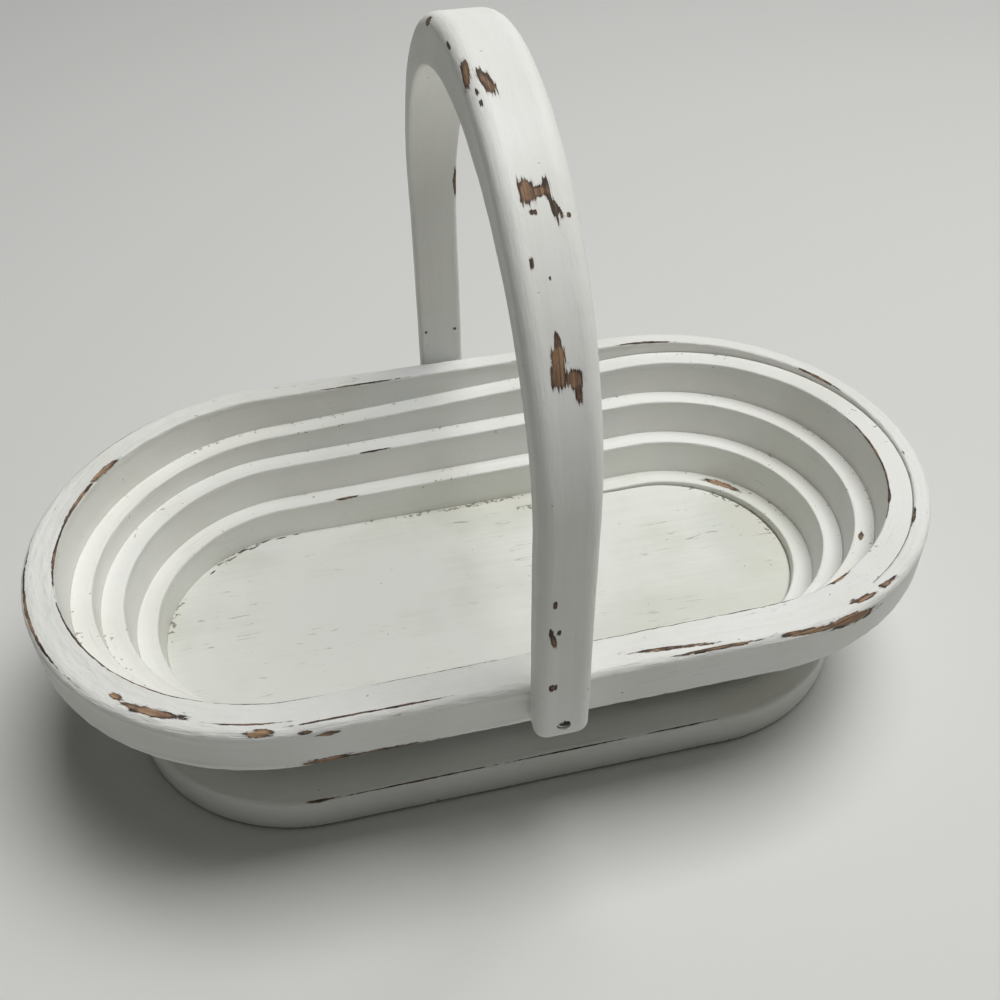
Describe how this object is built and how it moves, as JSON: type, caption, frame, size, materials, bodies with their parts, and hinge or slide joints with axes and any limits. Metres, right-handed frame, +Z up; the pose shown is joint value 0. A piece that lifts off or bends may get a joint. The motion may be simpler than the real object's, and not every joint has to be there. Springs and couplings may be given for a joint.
{
  "type": "wooden basket bowl",
  "caption": "Oval wooden basket bowl sawn from a board along a bevelled spiral into a stepped wall, on a foot board, with an arched handle that folds down onto the rim.",
  "frame": {"origin": "middle of the foot board's underside, on the surface that the bowl stands on", "axes": "+X along the bowl, +Y across it from one handle leg to the other, +Z up"},
  "size_m": [0.4, 0.2416, 0.3047],
  "materials": {
    "painted_wall": "brushed white paint, rubbed through to brown wood along the edges",
    "painted_floor": "thin creamy white paint with the grain showing through",
    "painted_foot": "brushed white paint, worn on its upper and lower edges",
    "painted_handle": "brushed white paint with large chips down to brown wood",
    "pin_steel": "dull steel with traces of paint"
  },
  "bodies": {
    "bowl": {"rim": "painted_wall", "wall_turn_1": "painted_wall", "wall_turn_2": "painted_wall", "wall_turn_3": "painted_wall", "wall_turn_4": "painted_wall", "floor_board": "painted_floor", "foot_board": "painted_foot", "pivot_pin_near": "pin_steel", "pivot_pin_far": "pin_steel"},
    "handle": {"handle": "painted_handle"}
  },
  "joints": [
    {"name": "handle_fold", "type": "hinge", "parent": "bowl", "child": "handle", "pos_m": [0, 0, 0.09172], "axis": [0, 1, 0], "range_deg": [-79, 79]}
  ]
}
